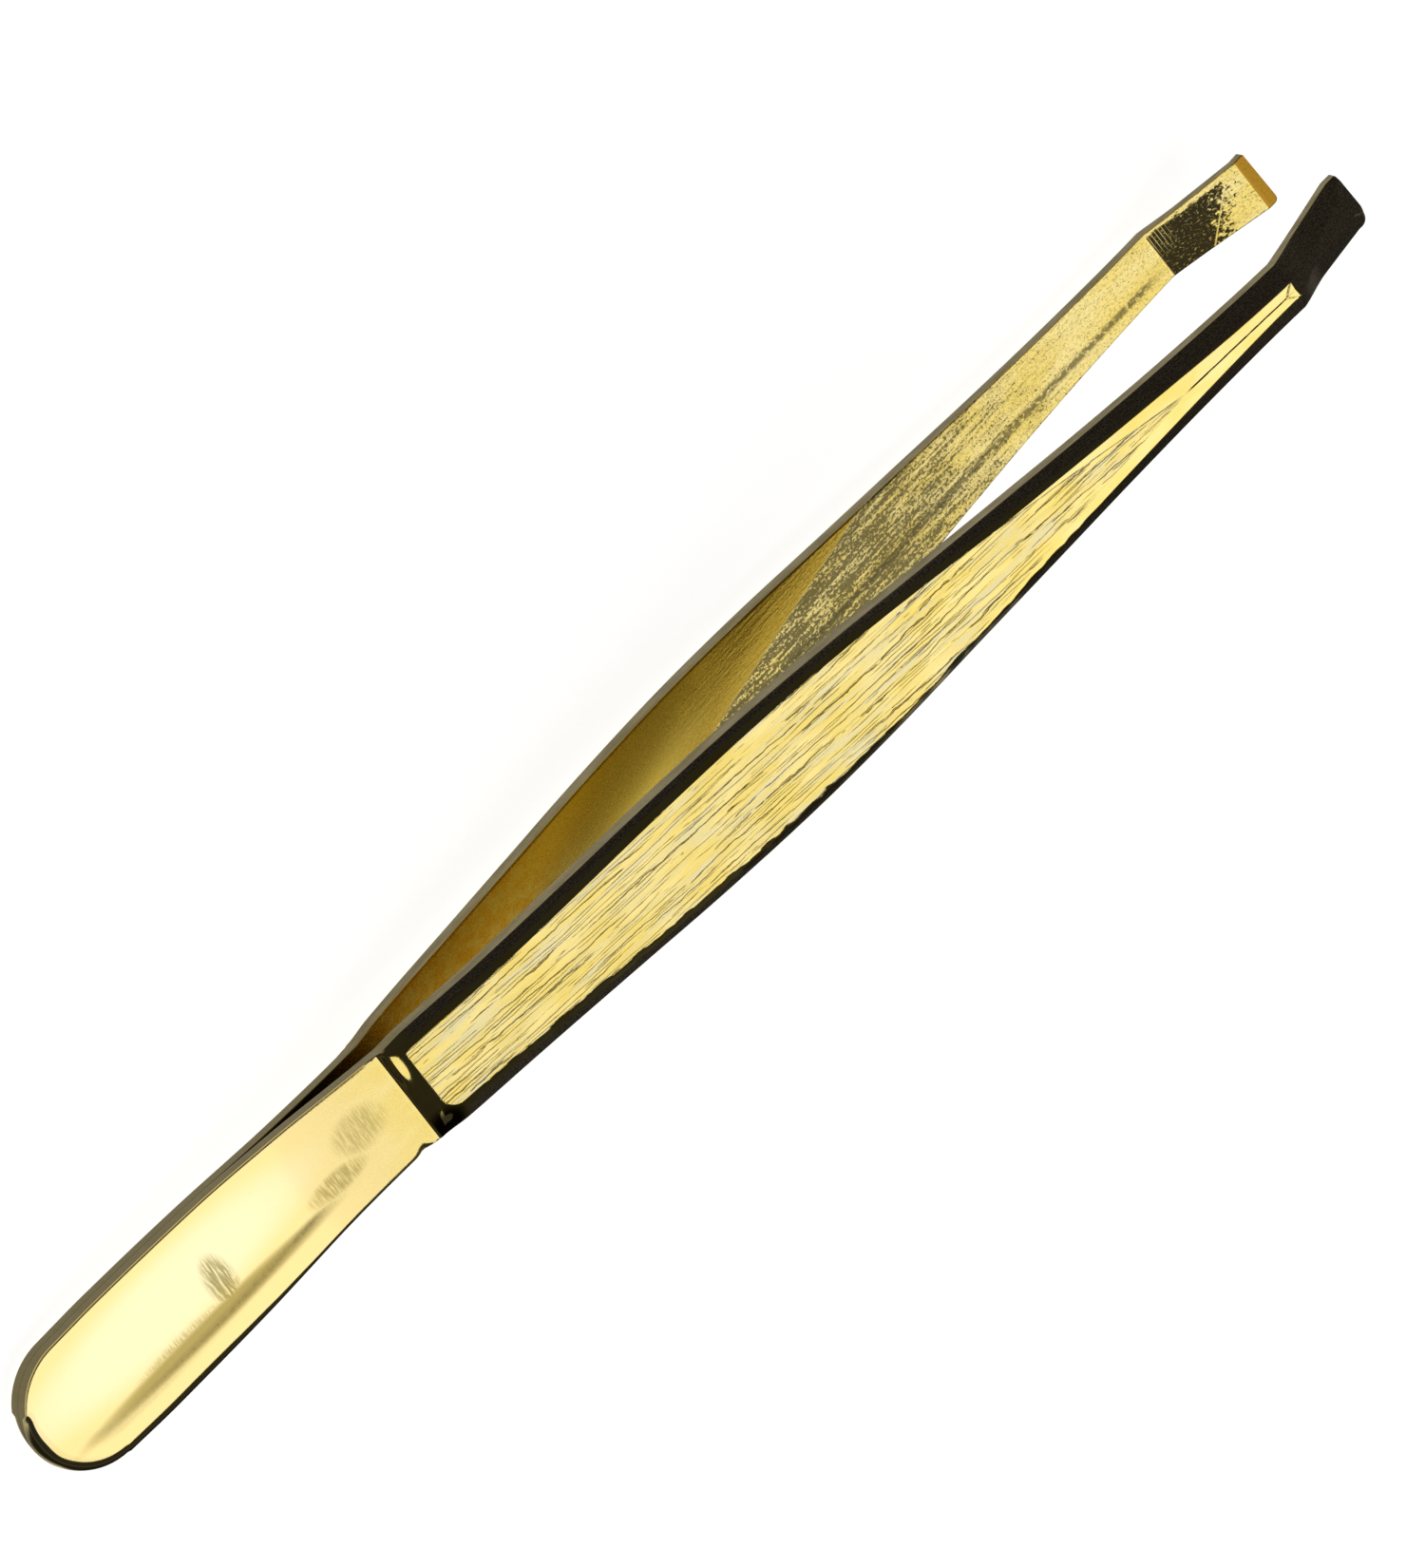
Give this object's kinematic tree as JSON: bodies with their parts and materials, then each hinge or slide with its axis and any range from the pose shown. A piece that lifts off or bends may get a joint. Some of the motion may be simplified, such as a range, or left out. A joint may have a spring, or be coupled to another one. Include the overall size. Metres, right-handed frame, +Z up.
{
  "type": "tweezers",
  "caption": "Spring tweezers with bevelled gold-coloured arms joined at a rounded heel, and short flat gripping tips bent inwards.",
  "frame": {"origin": "centre of the tool's outline on the table it lies on, one leg down, arms open", "axes": "+X from the tips towards the heel, +Y across the width of the arms, +Z up, from the lower leg to the upper leg"},
  "size_m": [0.0902, 0.0072, 0.0163],
  "materials": {
    "gold_plate": "bright gold plating over stainless steel, polished at the heel and brushed lengthwise on the arm faces",
    "weld_steel": "bare steel weld nugget, hidden between the heel plates"
  },
  "bodies": {
    "heel": {"upper_heel_plate": "gold_plate", "lower_heel_plate": "gold_plate", "spot_welds": "weld_steel"},
    "upper_arm": {"upper_arm": "gold_plate"},
    "lower_arm": {"lower_arm": "gold_plate"}
  },
  "joints": [
    {"name": "upper_arm_squeeze", "type": "hinge", "parent": "heel", "child": "upper_arm", "pos_m": [0.02319, 0, 0.00363], "axis": [0, -1, 0], "range_deg": [0, 3.91], "stiffness_Nm_per_rad": 2},
    {"name": "lower_arm_squeeze", "type": "hinge", "parent": "heel", "child": "lower_arm", "pos_m": [0.02304, 0, 0.00199], "axis": [0, 1, 0], "range_deg": [0, 3.91], "stiffness_Nm_per_rad": 2}
  ]
}
